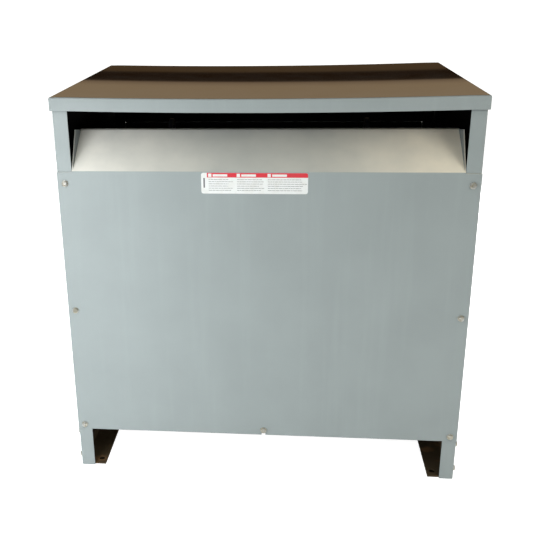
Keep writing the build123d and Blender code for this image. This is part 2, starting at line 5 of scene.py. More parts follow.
import bmesh
import bpy
from mathutils import Matrix, Vector


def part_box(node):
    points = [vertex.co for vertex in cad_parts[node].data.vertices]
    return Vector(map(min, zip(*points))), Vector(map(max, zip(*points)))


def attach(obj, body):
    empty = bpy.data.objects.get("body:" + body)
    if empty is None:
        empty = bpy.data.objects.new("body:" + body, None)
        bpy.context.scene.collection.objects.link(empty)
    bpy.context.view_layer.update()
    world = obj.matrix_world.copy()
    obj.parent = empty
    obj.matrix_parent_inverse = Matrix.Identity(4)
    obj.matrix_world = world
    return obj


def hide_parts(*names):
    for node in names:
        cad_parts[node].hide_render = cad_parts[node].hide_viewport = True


# Ventilated dry-type transformer, in metres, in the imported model's frame: front at -Y, floor at Z 0.

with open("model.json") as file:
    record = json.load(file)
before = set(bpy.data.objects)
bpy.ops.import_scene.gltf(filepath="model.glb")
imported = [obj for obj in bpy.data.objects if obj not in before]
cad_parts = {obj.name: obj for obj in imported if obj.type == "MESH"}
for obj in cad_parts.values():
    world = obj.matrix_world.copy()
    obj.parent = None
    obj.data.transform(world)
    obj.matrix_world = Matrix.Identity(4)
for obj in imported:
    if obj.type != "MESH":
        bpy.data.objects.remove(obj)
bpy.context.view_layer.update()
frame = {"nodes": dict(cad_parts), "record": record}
nodes = frame["nodes"]

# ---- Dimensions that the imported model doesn't give by itself ----
SHEET = 0.0019
BEND = 0.003
WASHER_R, WASHER_T, WASHER_RIM = 0.00635, 0.0011, 0.00025
HEAD_FLATS, HEAD_H = 0.0095, 0.0033
HEAD_CHAMFER, HEAD_SOFT, HEAD_DISH = math.radians(28), 0.0001, 0.0007
HEX_STEP = math.pi / 3
SHANK_R, SHANK_L = 0.003175, 0.016
THREAD_PITCH, THREAD_DEPTH = 0.00127, 0.00055
MIDDLE_SCREW_Z = 0.352
ROOF_SAG, SAG_MARGIN, RIM_SOFT = 0.0043, 0.029, 0.0003
STUD_R, STUD_L, STUD_PITCH, STUD_DEPTH = 0.003, 0.016, 0.001, 0.0004
STUD_NUT_REACH, STUD_Y = 0.00554, (-0.15, 0, 0.15)


# ---- Camera ----

# The turn is yaw, pitch and roll in degrees; the sensor and the lens are in millimetres.
CAMERA_PLACE = (0.0445, -1.6078, 0.9631)
CAMERA_TURN = (-5.7865, -19.2989, -1.1602)
CAMERA_SHIFT = (0.1047, -0.0421)
SENSOR_WIDTH, FOCAL_LENGTH = 36, 52.16


def add_camera():
    """The photograph's viewpoint: just right of the middle, a little above the roof, looking down."""
    yaw, pitch, roll = (math.radians(angle) for angle in CAMERA_TURN)
    forward = Vector((math.sin(yaw) * math.cos(pitch), math.cos(yaw) * math.cos(pitch), math.sin(pitch)))
    right = Vector((math.cos(yaw), -math.sin(yaw), 0))
    up = right.cross(forward)
    across = right * math.cos(roll) + up * math.sin(roll)
    above = up * math.cos(roll) - right * math.sin(roll)
    data = bpy.data.cameras.new("camera")
    data.sensor_width, data.lens = SENSOR_WIDTH, FOCAL_LENGTH
    data.shift_x, data.shift_y = CAMERA_SHIFT
    camera = bpy.data.objects.new("camera", data)
    turn = Matrix((across, above, -forward)).transposed().to_4x4()
    camera.matrix_world = Matrix.Translation(CAMERA_PLACE) @ turn
    bpy.context.scene.collection.objects.link(camera)
    bpy.context.scene.camera = camera


add_camera()


# ---- Materials ----

# Nearly all of a noise's values lie in this range.
NOISE_RANGE = (0.3, 0.7)
IOR, WIRE_IOR = 1.5, 1.55
BODY_GREY = (0.305, 0.345, 0.350, 1)
# Up-facing tints of the panels: dust, brightened into painted light; the right one is warmer, as painted
# warm light.
DUST_AND_LIGHT_LEFT, DUST_AND_WARM_LIGHT_RIGHT = (0.93, 0.91, 0.84, 1), (0.96, 0.88, 0.72, 1)
# Roof top tint: partly grime, partly painted shade for the dim room above it.
GRIME_AND_SHADE = (0.032, 0.017, 0.007, 1)
# Near-black inner faces: primer, darkened into painted shade.
INNER_PRIMER_AND_SHADE = (0.009, 0.009, 0.009, 1)
BOARD_RED = (0.30, 0.055, 0.03, 1)
SATIN, COAT_ROUGHNESS = 0.5, 0.02
# Half width, half depth and height inside which a sheet's faces look into the enclosure.
PANEL_SHELL = (0.3764, 0.2455, 0.7600)
ROOF_SHELL = (0.3795, 0.2525, 0.7606)
# The deflectors' ears lie above EAR_LOW, further out than EAR_DEPTH and nearer the middle than EAR_X.
# EAR_SHADE_CUT is how much of the inner painted shade the ears are spared.
EAR_LOW, EAR_DEPTH, EAR_X, EAR_SHADE_CUT = 0.629, 0.170, 0.3502, 0.5
# Shares of a normal from which a face counts as turned to the back or side, or to the sky.
BACK_TURN, SKY_TURN = 0.7, 0.3


class Shader:
    """Adds nodes to one shader tree; an input is a value or another node's socket."""

    def __init__(self, tree):
        self.tree = tree

    def add(self, kind, inputs=None, **settings):
        node = self.tree.nodes.new(kind)
        for key, value in settings.items():
            setattr(node, key, value)
        for socket, value in (inputs or {}).items():
            if isinstance(value, bpy.types.NodeSocket):
                self.tree.links.new(value, node.inputs[socket])
            else:
                node.inputs[socket].default_value = value
        return node

    def math(self, operation, a, b=0.0):
        return self.add("ShaderNodeMath", {0: a, 1: b}, operation=operation).outputs[0]

    def product(self, first, *others):
        for other in others:
            first = self.math("MULTIPLY", first, other)
        return first

    def remap(self, value, low, high, to_low=0.0, to_high=1.0):
        inputs = {"Value": value, "From Min": low, "From Max": high, "To Min": to_low, "To Max": to_high}
        return self.add("ShaderNodeMapRange", inputs).outputs["Result"]

    def mix(self, factor, a, b, blend="MIX"):
        node = self.add("ShaderNodeMix", {0: factor, 6: a, 7: b}, data_type="RGBA", blend_type=blend)
        return node.outputs[2]

    def ramp(self, position, stops, span):
        """Colours at places along a span, joined in straight lines."""
        node = self.add("ShaderNodeValToRGB", {"Fac": position})
        elements = node.color_ramp.elements
        elements[0].position, elements[1].position = stops[0][0] / span, stops[-1][0] / span
        elements[0].color, elements[1].color = (*stops[0][1], 1), (*stops[-1][1], 1)
        for place, colour in stops[1:-1]:
            elements.new(place / span).color = (*colour, 1)
        return node.outputs[0]


class Finish(Shader):
    """One Principled material and the patterns that it is made from. Sizes are in metres."""

    SOCKETS = {
        "colour": "Base Color",
        "roughness": "Roughness",
        "normal": "Normal",
        "specular": "Specular IOR Level",
        "coat": "Coat Weight",
        "glow": "Emission Strength",
    }

    def __init__(self, name, constants):
        self.material = bpy.data.materials.new(name)
        self.material.use_nodes = True
        super().__init__(self.material.node_tree)
        self.shader = self.tree.nodes["Principled BSDF"]
        for socket, value in constants.items():
            self.shader.inputs[socket].default_value = value
        self.place = self.add("ShaderNodeTexCoord").outputs["Object"]

    def stretch(self, x, y, z):
        """Object coordinates, scaled along each axis."""
        inputs = {0: self.place, 1: (x, y, z)}
        return self.add("ShaderNodeVectorMath", inputs, operation="MULTIPLY").outputs[0]

    def noise(self, size, detail=2.0, where=None):
        """Noise from 0 to 1 whose blotches are about size across."""
        inputs = {"Vector": where or self.place, "Scale": 1 / size, "Detail": detail}
        return self.add("ShaderNodeTexNoise", inputs).outputs["Fac"]

    def spread(self, noise, low=0.0, high=1.0):
        """A noise's usual values, spread over another range."""
        return self.remap(noise, *NOISE_RANGE, low, high)

    def axis(self, name, source=None):
        return self.add("ShaderNodeSeparateXYZ", {0: source or self.place}).outputs[name]

    def distance(self, name, source=None):
        """Distance from the middle along one axis, or a vector's size along it."""
        return self.math("ABSOLUTE", self.axis(name, source))

    def normal(self):
        return self.add("ShaderNodeNewGeometry").outputs["Normal"]

    def bump(self, height, distance, under=None):
        inputs = {"Height": height, "Distance": distance}
        if under:
            inputs["Normal"] = under
        return self.add("ShaderNodeBump", inputs).outputs["Normal"]

    def finish(self, **links):
        for key, source in links.items():
            self.tree.links.new(source, self.shader.inputs[self.SOCKETS[key]])
        return self.material


def tint(colour, factor):
    return tuple(channel * factor for channel in colour[:3]) + (1,)


def inner_primer_shade_mask(paint, half_w, half_d, under):
    """1 on the sheet faces that look into the enclosure, which get near-black primer as painted shade."""
    x, y, z, normal = paint.distance("X"), paint.distance("Y"), paint.axis("Z"), paint.normal()
    within = paint.product(paint.math("LESS_THAN", x, half_w), paint.math("LESS_THAN", y, half_d))
    # Beyond that depth only a sheet's back looks inwards; its cut edges look sideways.
    outwards = paint.product(paint.axis("Y", normal), paint.axis("Y"))
    back = paint.math("LESS_THAN", outwards, paint.product(y, -BACK_TURN))
    inside = paint.product(
        paint.math("MAXIMUM", within, back),
        paint.math("LESS_THAN", z, under),
        paint.math("LESS_THAN", paint.axis("Z", normal), SKY_TURN),
    )
    # The tapered ears of the deflectors keep only half of that painted shade, so they look mid-dark.
    ear = paint.product(
        paint.math("GREATER_THAN", z, EAR_LOW),
        paint.math("GREATER_THAN", y, EAR_DEPTH),
        paint.math("LESS_THAN", x, EAR_X),
        paint.math("GREATER_THAN", paint.distance("X", normal), BACK_TURN),
    )
    return paint.math("SUBTRACT", inside, paint.product(inside, ear, EAR_SHADE_CUT))


def powder_coat(name, dirt_and_lighting_colours, dirt_and_lighting_cover, dirt_and_lighting_sides, flat_from, polished, shell):
    """Semi-gloss powder coat with orange peel and faint mottling, and a tint on what faces upwards: dust
    with painted light on the panels, grime with painted shade on the roof.

    The tint colours run from left to right, dirt_and_lighting_cover is its patchy cover, and
    dirt_and_lighting_sides is how much of it lies in the middle and at the sides. A face takes it as its
    normal's Z passes through flat_from.
    """
    paint = Finish(name, {"IOR": IOR, "Coat Roughness": COAT_ROUGHNESS})
    mottle = paint.spread(paint.noise(0.09, 3))
    base = paint.mix(mottle, tint(BODY_GREY, 0.965), tint(BODY_GREY, 1.03))
    speck = paint.remap(paint.noise(0.0012), 0.35, 0.7)
    base = paint.mix(paint.product(speck, 0.35), base, tint(BODY_GREY, 0.9))
    run = paint.remap(paint.noise(0.02, 4, paint.stretch(1, 1, 0.06)), 0.52, 0.75)
    base = paint.mix(paint.product(run, 0.3), base, tint(BODY_GREY, 1.12))
    up = paint.remap(paint.axis("Z", paint.normal()), *flat_from)
    patchy = paint.remap(paint.noise(0.05, 5), 0.25, 0.75, *dirt_and_lighting_cover)
    # The tint lies deeper towards the sides, as painted light on the deflector's brighter ends.
    sides_dirt_and_lighting = paint.remap(paint.distance("X"), 0.08, 0.32, *dirt_and_lighting_sides)
    tone = paint.mix(paint.remap(paint.axis("X"), -0.3, 0.3), *dirt_and_lighting_colours)
    # Up-facing faces take the tint: dust with painted light on the panels, grime with painted shade on the
    # roof.
    base = paint.mix(paint.product(up, patchy, sides_dirt_and_lighting), base, tone)
    inner_primer_shade = inner_primer_shade_mask(paint, *shell)
    waves = paint.bump(paint.noise(0.22, 1), 0.0016)
    roughness = paint.spread(paint.noise(0.03, 4), 0.36, 0.46)
    links = {
        # Inner faces take the near-black primer as painted shade.
        "colour": paint.mix(inner_primer_shade, base, INNER_PRIMER_AND_SHADE),
        "roughness": paint.math("MAXIMUM", roughness, inner_primer_shade),
        "normal": paint.bump(paint.noise(0.0022, 2), 0.00003, waves),
    }
    dull = inner_primer_shade
    if polished:
        # Years of wiping have left the level top much glossier than its edges.
        links["coat"] = up
        dull = paint.math("MAXIMUM", inner_primer_shade, up)
    return paint.finish(specular=paint.remap(dull, 0.0, 1.0, SATIN, 0.0), **links)


def bright_zinc(name):
    """Zinc plate with a faint straw tint and fine scratches."""
    metal = Finish(name, {"Metallic": 1.0, "IOR": IOR})
    patch = metal.remap(metal.noise(0.006, 3), 0.4, 0.65)
    colour = metal.mix(patch, (0.72, 0.72, 0.70, 1), (0.62, 0.58, 0.46, 1))
    roughness = metal.spread(metal.noise(0.002, 3), 0.22, 0.42)
    return metal.finish(colour=colour, roughness=roughness, normal=metal.bump(metal.noise(0.0008), 0.00003))


def oiled_steel(name):
    """Dark phosphated steel with an oily film."""
    metal = Finish(name, {"Metallic": 0.3, "IOR": IOR})
    film = metal.remap(metal.noise(0.003, 3), 0.35, 0.65)
    colour = metal.mix(film, (0.022, 0.022, 0.024, 1), (0.045, 0.042, 0.038, 1))
    roughness = metal.remap(film, 0.0, 1.0, 0.5, 0.65)
    return metal.finish(colour=colour, roughness=roughness, normal=metal.bump(metal.noise(0.0007), 0.00003))


def shaded_primed_steel(name):
    """Black primer darkened as painted shade, turning brown towards the floor, with rust-coloured patches.
    """
    steel = Finish(name, {"IOR": IOR, "Specular IOR Level": 0.25})
    rust = steel.remap(steel.noise(0.04, 6), 0.55, 0.72)
    colour = steel.mix(rust, (0.072, 0.052, 0.030, 1), (0.21, 0.12, 0.055, 1))
    # Near-black higher up as painted shade, browner towards the floor.
    low_down = steel.remap(steel.axis("Z"), 0.012, 0.05, 1.0, 0.0)
    colour = steel.mix(low_down, (0.005, 0.0045, 0.004, 1), colour)
    roughness = steel.spread(steel.noise(0.01, 4), 0.5, 0.75)
    pits = steel.bump(steel.noise(0.0015, 4), 0.0001)
    return steel.finish(colour=colour, roughness=roughness, normal=pits)


def enamel(name, colour):
    """Dark brushed-on enamel, a little uneven."""
    paint = Finish(name, {"IOR": IOR, "Specular IOR Level": 0.3})
    tone = paint.spread(paint.noise(0.05, 3))
    base = paint.mix(tone, tint(colour, 0.85), tint(colour, 1.2))
    roughness = paint.spread(paint.noise(0.015, 3), 0.35, 0.55)
    return paint.finish(colour=base, roughness=roughness, normal=paint.bump(paint.noise(0.004, 3), 0.0001))


def varnished_core(name):
    """Silicon-steel edges under dark varnish."""
    steel = Finish(name, {"Metallic": 0.55, "IOR": IOR, "Coat Weight": 0.5, "Coat Roughness": 0.25})
    layer = steel.noise(0.0016, 3, steel.stretch(0.05, 1, 0.05))
    colour = steel.mix(steel.remap(layer, 0.35, 0.65), (0.10, 0.095, 0.09, 1), (0.26, 0.25, 0.24, 1))
    varnish = steel.remap(steel.noise(0.05, 4), 0.5, 0.75)
    colour = steel.mix(varnish, colour, (0.10, 0.055, 0.03, 1))
    return steel.finish(colour=colour, roughness=steel.spread(layer, 0.35, 0.6))


def pressboard(name, colour):
    """Varnished pressboard with short fibres and darker soaked patches."""
    board = Finish(name, {"IOR": IOR, "Coat Weight": 0.35, "Coat Roughness": 0.3})
    fibre = board.remap(board.noise(0.003, 5, board.stretch(1, 1, 0.25)), 0.35, 0.65)
    base = board.mix(fibre, tint(colour, 0.8), tint(colour, 1.12))
    soaked = board.remap(board.noise(0.05, 4), 0.5, 0.7, 0.0, 0.6)
    base = board.mix(soaked, base, tint(colour, 0.45))
    roughness = board.remap(fibre, 0.0, 1.0, 0.45, 0.62)
    return board.finish(colour=base, roughness=roughness, normal=board.bump(fibre, 0.00008))


def glass_polyester(name, colour):
    """Red laminate board with glass flecks."""
    board = Finish(name, {"IOR": IOR})
    fleck = board.remap(board.noise(0.002, 4, board.stretch(1, 1, 0.4)), 0.55, 0.75)
    base = board.mix(fleck, colour, tint(colour, 1.5))
    roughness = board.spread(board.noise(0.02, 3), 0.4, 0.55)
    return board.finish(colour=base, roughness=roughness, normal=board.bump(board.noise(0.0015, 2), 0.00004))


def wire_winding(name):
    """Enamelled wire under amber varnish; each turn's tone differs a little."""
    wire = Finish(name, {"IOR": WIRE_IOR, "Coat Weight": 0.8, "Coat Roughness": 0.16})
    turn = wire.noise(0.0034, 1, wire.stretch(0.01, 0.01, 1))
    base = wire.mix(wire.spread(turn), (0.19, 0.075, 0.022, 1), (0.36, 0.16, 0.05, 1))
    pooled = wire.remap(wire.noise(0.04, 4), 0.5, 0.72)
    base = wire.mix(pooled, base, (0.075, 0.028, 0.01, 1))
    return wire.finish(colour=base, roughness=wire.spread(turn, 0.3, 0.45))


def brushed_metal(name, colour, tarnish, low, high):
    """Bare bar metal drawn along its length, with tarnished patches."""
    metal = Finish(name, {"Metallic": 1.0})
    grain = metal.noise(0.002, 4, metal.stretch(0.08, 1, 0.08))
    patch = metal.remap(metal.noise(0.05, 4), 0.45, 0.72)
    base = metal.mix(patch, colour, tarnish)
    roughness = metal.spread(grain, low, high)
    return metal.finish(colour=base, roughness=roughness, normal=metal.bump(grain, 0.00002))


def moulded_rubber(name):
    rubber = Finish(name, {"IOR": IOR})
    base = rubber.mix(rubber.noise(0.01, 4), (0.014, 0.014, 0.014, 1), (0.035, 0.034, 0.033, 1))
    return rubber.finish(
        colour=base,
        roughness=rubber.spread(rubber.noise(0.004, 3), 0.65, 0.85),
        normal=rubber.bump(rubber.noise(0.001), 0.00005),
    )


def vinyl(name, colour, worn, roughness):
    """Printed film: one ink colour with slight fading and fine scuffs."""
    film = Finish(name, {"IOR": IOR, "Coat Weight": 0.3, "Coat Roughness": 0.15})
    base = film.mix(film.remap(film.noise(0.012, 5), 0.45, 0.75), colour, worn)
    scuff = film.spread(film.noise(0.004, 4), roughness, roughness + 0.15)
    return film.finish(colour=base, roughness=scuff, normal=film.bump(film.noise(0.006, 2), 0.00002))


# Its pale dust on the deflector is partly painted light, deepest at the ends.
panel_paint = powder_coat(
    "panel_paint",
    dirt_and_lighting_colours=(DUST_AND_LIGHT_LEFT, DUST_AND_WARM_LIGHT_RIGHT),
    dirt_and_lighting_cover=(0.75, 1.0),
    dirt_and_lighting_sides=(0.4, 0.97),
    flat_from=(0.3, 0.75),
    polished=False,
    shell=PANEL_SHELL,
)
# The roof top's dark brown is partly grime and partly painted shade.
roof_paint = powder_coat(
    "roof_paint",
    dirt_and_lighting_colours=(GRIME_AND_SHADE, GRIME_AND_SHADE),
    dirt_and_lighting_cover=(0.88, 0.98),
    dirt_and_lighting_sides=(1.0, 1.0),
    flat_from=(0.93, 0.995),
    polished=True,
    shell=ROOF_SHELL,
)
zinc = bright_zinc("zinc")
oiled = oiled_steel("oiled_steel")
base_shaded_primer = shaded_primed_steel("base_steel")
# Near-black: the clamps' dark enamel, darkened further as painted shade in the vent.
clamp_enamel_shaded = enamel("clamp_paint", (0.018, 0.019, 0.021, 1))
core_varnish = varnished_core("core_steel")
board_tan = pressboard("insulation", (0.46, 0.30, 0.15, 1))
collar_tan = pressboard("collar_board", (0.55, 0.40, 0.24, 1))
terminal_red = glass_polyester("terminal_board", BOARD_RED)
standoff_red = glass_polyester("standoff", tint(BOARD_RED, 1.15))
lv_sheet = pressboard("lv_conductor", (0.42, 0.33, 0.2, 1))
hv_wire = wire_winding("hv_coil")
tinned = brushed_metal("bus_bar", (0.76, 0.76, 0.77, 1), (0.6, 0.59, 0.56, 1), 0.25, 0.42)
copper = brushed_metal("copper_bar", (0.80, 0.42, 0.27, 1), (0.36, 0.17, 0.10, 1), 0.25, 0.45)
brass = brushed_metal("brass_stud", (0.80, 0.62, 0.30, 1), (0.5, 0.36, 0.16, 1), 0.2, 0.38)
rubber = moulded_rubber("rubber_pad")
label_white = vinyl("label_film", (0.78, 0.80, 0.80, 1), (0.72, 0.73, 0.71, 1), 0.3)
label_red = vinyl("label_red", (0.66, 0.035, 0.055, 1), (0.58, 0.06, 0.07, 1), 0.3)
label_ink = vinyl("label_ink", (0.16, 0.16, 0.17, 1), (0.26, 0.26, 0.27, 1), 0.35)

FINISHES = {
    "panel_paint": panel_paint,
    "roof_paint": roof_paint,
    "zinc": zinc,
    "base_steel": base_shaded_primer,
    "clamp_paint": clamp_enamel_shaded,
    "core_steel": core_varnish,
    "insulation": board_tan,
    "terminal_board": terminal_red,
    "standoff": standoff_red,
    "lv_conductor": lv_sheet,
    "hv_coil": hv_wire,
    "bus_bar": tinned,
    "copper_bar": copper,
    "brass_stud": brass,
    "rubber_pad": rubber,
    "label_film": label_white,
}


# ---- CAD nodes: finish and softened edges ----

WELD_GAP = 0.00001
CAD_SMOOTH, BEVEL_FROM, MESH_SMOOTH = math.radians(30), math.radians(35), math.radians(35)
EDGE_WIDTH = {"panel_paint": 0.0004, "insulation": 0.0004, "rubber_pad": 0.0012}
COMMON_EDGE = 0.0005
# The weld and roof nuts take the dark oiled steel, partly as painted shade inside the enclosure.
OILED_SHADED_NUTS = ("panel_weld_nuts", "roof_nuts")


def edge_softening_group():
    """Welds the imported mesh's split vertices and shades it smooth except across its real edges."""
    group = bpy.data.node_groups.new("softened_edges", "GeometryNodeTree")
    for way in ("INPUT", "OUTPUT"):
        group.interface.new_socket("Geometry", in_out=way, socket_type="NodeSocketGeometry")
    new = group.nodes.new
    start, end = new("NodeGroupInput"), new("NodeGroupOutput")
    weld = new("GeometryNodeMergeByDistance")
    weld.inputs["Distance"].default_value = WELD_GAP
    unset = new("GeometryNodeRemoveAttribute")
    unset.inputs["Name"].default_value = "custom_normal"
    faces = new("GeometryNodeSetShadeSmooth")
    edges = new("GeometryNodeSetShadeSmooth")
    edges.domain = "EDGE"
    angle = new("GeometryNodeInputMeshEdgeAngle")
    flat = new("FunctionNodeCompare")
    flat.operation = "LESS_THAN"
    flat.inputs[1].default_value = CAD_SMOOTH
    link = group.links.new
    link(start.outputs[0], weld.inputs["Geometry"])
    link(weld.outputs[0], unset.inputs["Geometry"])
    link(unset.outputs[0], faces.inputs["Geometry"])
    link(faces.outputs[0], edges.inputs["Geometry"])
    link(angle.outputs["Unsigned Angle"], flat.inputs[0])
    link(flat.outputs[0], edges.inputs["Shade Smooth"])
    link(edges.outputs[0], end.inputs[0])
    return group


SOFTENED = edge_softening_group()


def dress_cad_nodes():
    slots = {part["node"]: part["material_slot"] for part in frame["record"]["subparts"]}
    for name, piece in nodes.items():
        piece.data.materials[0] = oiled if name in OILED_SHADED_NUTS else FINISHES[slots[name]]
        weld = piece.modifiers.new("softened", "NODES")
        weld.node_group = SOFTENED
        bevel = piece.modifiers.new("edges", "BEVEL")
        bevel.width = EDGE_WIDTH.get(slots[name], COMMON_EDGE)
        bevel.segments = 2
        bevel.limit_method = "ANGLE"
        bevel.angle_limit = BEVEL_FROM
        bevel.harden_normals = True


dress_cad_nodes()


# ---- Mesh helpers ----


def piece_from(name, mesh, body, materials, replaced):
    """Turns a bmesh into a piece that rides on a body and stands for CAD nodes."""
    data = bpy.data.meshes.new(name)
    mesh.normal_update()
    mesh.to_mesh(data)
    mesh.free()
    for material in materials:
        data.materials.append(material)
    data.shade_smooth()
    data.set_sharp_from_angle(angle=MESH_SMOOTH)
    piece = bpy.data.objects.new(name, data)
    bpy.context.scene.collection.objects.link(piece)
    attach(piece, body)
    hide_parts(*replaced)
    return piece


def rounded_outline(half_x, half_y, radius, steps_x=1, steps_y=1, arc_steps=6):
    """Points anticlockwise round a rectangle with round corners."""
    arcs = []
    for quarter, (side_x, side_y) in enumerate(((1, 1), (-1, 1), (-1, -1), (1, -1))):
        centre = Vector((side_x * (half_x - radius), side_y * (half_y - radius)))
        angles = [math.pi / 2 * (quarter + i / arc_steps) for i in range(arc_steps + 1)]
        arcs.append([centre + radius * Vector((math.cos(a), math.sin(a))) for a in angles])
    points = []
    for quarter, arc in enumerate(arcs):
        following = arcs[(quarter + 1) % 4][0]
        steps = steps_x if quarter % 2 == 0 else steps_y
        points += arc + [arc[-1].lerp(following, i / steps) for i in range(1, steps)]
    return points


def skin(mesh, rings, closed=False, material=0):
    """Joins rings of equal length with quads and returns their vertices."""
    made = [[mesh.verts.new(point) for point in ring] for ring in rings]
    pairs = list(zip(made, made[1:] + made[:1])) if closed else list(zip(made, made[1:]))
    for low, high in pairs:
        for i in range(len(low)):
            j = (i + 1) % len(low)
            face = mesh.faces.new((low[i], low[j], high[j], high[i]))
            face.material_index = material
    return made


def capped(mesh, rings, material=0):
    """Joins rings with quads and closes both ends."""
    made = skin(mesh, rings, material=material)
    for ring in (made[0][::-1], made[-1]):
        mesh.faces.new(ring).material_index = material


def upright(outline, middle, y):
    """An outline stood up round a middle point, in the plane at a depth."""
    return [Vector((middle.x - p.x, y, middle.z + p.y)) for p in outline]


def quarter_turn(steps):
    """Angles from nought to a right angle."""
    return [math.pi / 2 * i / steps for i in range(steps + 1)]


def polar(place, radius, angle, height):
    """A point given round the axis of a transform."""
    return place @ Vector((radius * math.cos(angle), radius * math.sin(angle), height))


def lathe(mesh, place, profile, steps):
    """Turns a profile of (radius, height) about an axis; both ends are closed with a disc."""
    angles = [math.tau * i / steps for i in range(steps)]
    capped(mesh, [[polar(place, radius, angle, height) for angle in angles] for radius, height in profile])


def facing(point, outward):
    """Transform whose local +Z points outward from a point."""
    return Matrix.Translation(point) @ Vector(outward).to_track_quat("Z", "Y").to_matrix().to_4x4()


# ---- Screws ----

# Threads and studs take the dark oiled steel, partly as painted shade inside the enclosure.
OILED_SLOT = 1


def thread(mesh, place, radius, length, pitch, depth, steps=16, rows_per_turn=5):
    """A threaded shank from the seat down to its blunt tip."""
    rows = round(length / pitch * rows_per_turn)
    rings = []
    for row in range(rows + 1):
        height = -length * row / rows
        taper = min(1.0, (rows - row) / rows_per_turn)
        ring = []
        for i in range(steps):
            turn = (row / rows_per_turn + i / steps) % 1
            crest = 1 - abs(2 * turn - 1)
            ring.append(polar(place, radius - depth * (1 - crest * taper), math.tau * i / steps, height))
        rings.append(ring)
    capped(mesh, rings[::-1], OILED_SLOT)


def hex_head(mesh, place, flats, height, steps=48):
    """Hex head with a turned chamfer and a shallow dished top."""
    inner = flats / 2
    crown, dish_rim, dish_floor = inner * 0.97, inner * 0.66, inner * 0.52
    angles = [math.tau * i / steps for i in range(steps)]
    corners = [inner / math.cos((angle + HEX_STEP / 2) % HEX_STEP - HEX_STEP / 2) for angle in angles]
    slope = math.tan(HEAD_CHAMFER)
    drops = [max(0.0, radius - crown) * slope for radius in corners]
    circles = ((crown - HEAD_SOFT, height), (dish_rim, height), (dish_floor, height - HEAD_DISH))
    rings = [
        [polar(place, radius, angle, 0) for radius, angle in zip(corners, angles)],
        [
            polar(place, radius, angle, height - drop - HEAD_SOFT)
            for radius, angle, drop in zip(corners, angles, drops)
        ],
    ]
    rings += [[polar(place, radius, angle, level) for angle in angles] for radius, level in circles]
    capped(mesh, rings)


def washer_screw(mesh, seat, turn):
    """Hex washer-head screw on a seat whose +Z points outwards."""
    place = seat @ Matrix.Rotation(turn, 4, "Z")
    profile = [
        (SHANK_R, 0),
        (WASHER_R - WASHER_RIM, 0),
        (WASHER_R, WASHER_RIM),
        (WASHER_R - WASHER_RIM, WASHER_T - WASHER_RIM),
        (HEAD_FLATS / 2 + WASHER_RIM, WASHER_T),
        (SHANK_R, WASHER_T),
    ]
    lathe(mesh, place, profile, steps=40)
    hex_head(mesh, place @ Matrix.Translation((0, 0, WASHER_T)), HEAD_FLATS, HEAD_H)
    thread(mesh, place, SHANK_R, SHANK_L, THREAD_PITCH, THREAD_DEPTH)


def panel_screws(name, outward_y, body):
    """The seven screws of one service panel, each stopped at its own angle."""
    low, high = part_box(name)
    reach = high.x - WASHER_R
    bottom, top = low.z + WASHER_R, high.z - WASHER_R
    head_y = low.y if outward_y < 0 else high.y
    seat_y = head_y - outward_y * (WASHER_T + HEAD_H)
    places = [(side * reach, z) for side in (-1, 1) for z in (bottom, MIDDLE_SCREW_Z, top)]
    places.append((0, bottom))
    mesh = bmesh.new()
    draw = random.Random(name)
    for x, z in places:
        washer_screw(mesh, facing((x, seat_y, z), (0, outward_y, 0)), draw.uniform(0, HEX_STEP))
    piece_from(f"{name}_threaded", mesh, body, [zinc, oiled], [name])


def enclosure_side_screws():
    """The screws that hold each side panel to the base, front and back, in two rows."""
    low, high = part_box("side_screws")
    seat_x = high.x - WASHER_T - HEAD_H
    places_y = (low.y + WASHER_R, high.y - WASHER_R)
    places_z = (low.z + WASHER_R, high.z - WASHER_R)
    mesh = bmesh.new()
    draw = random.Random("side_screws")
    for side in (-1, 1):
        for y in places_y:
            for z in places_z:
                washer_screw(mesh, facing((side * seat_x, y, z), (side, 0, 0)), draw.uniform(0, HEX_STEP))
    piece_from("side_screws_threaded", mesh, "enclosure", [zinc, oiled], ["side_screws"])


panel_screws("front_panel_screws", -1, "front_cover")
panel_screws("rear_panel_screws", 1, "rear_cover")
enclosure_side_screws()


# ---- Roof ----

JOIN_GAP = 0.00002
LEVEL_FACE = 0.99


def dished(point, half_x):
    """The roof sags between its side walls."""
    span = half_x - SAG_MARGIN
    share = max(0.0, 1 - (point.x / span) ** 2)
    return Vector((point.x, point.y, point.z - ROOF_SAG * share))


def level_shading(data):
    """Shades the top as one level mirror; the shallow dish shows in its outline alone."""
    normals = [Vector() for _ in data.loops]
    for face in data.polygons:
        if face.normal.z > LEVEL_FACE:
            for loop in face.loop_indices:
                normals[loop] = Vector((0, 0, 1))
    data.normals_split_custom_set(normals)


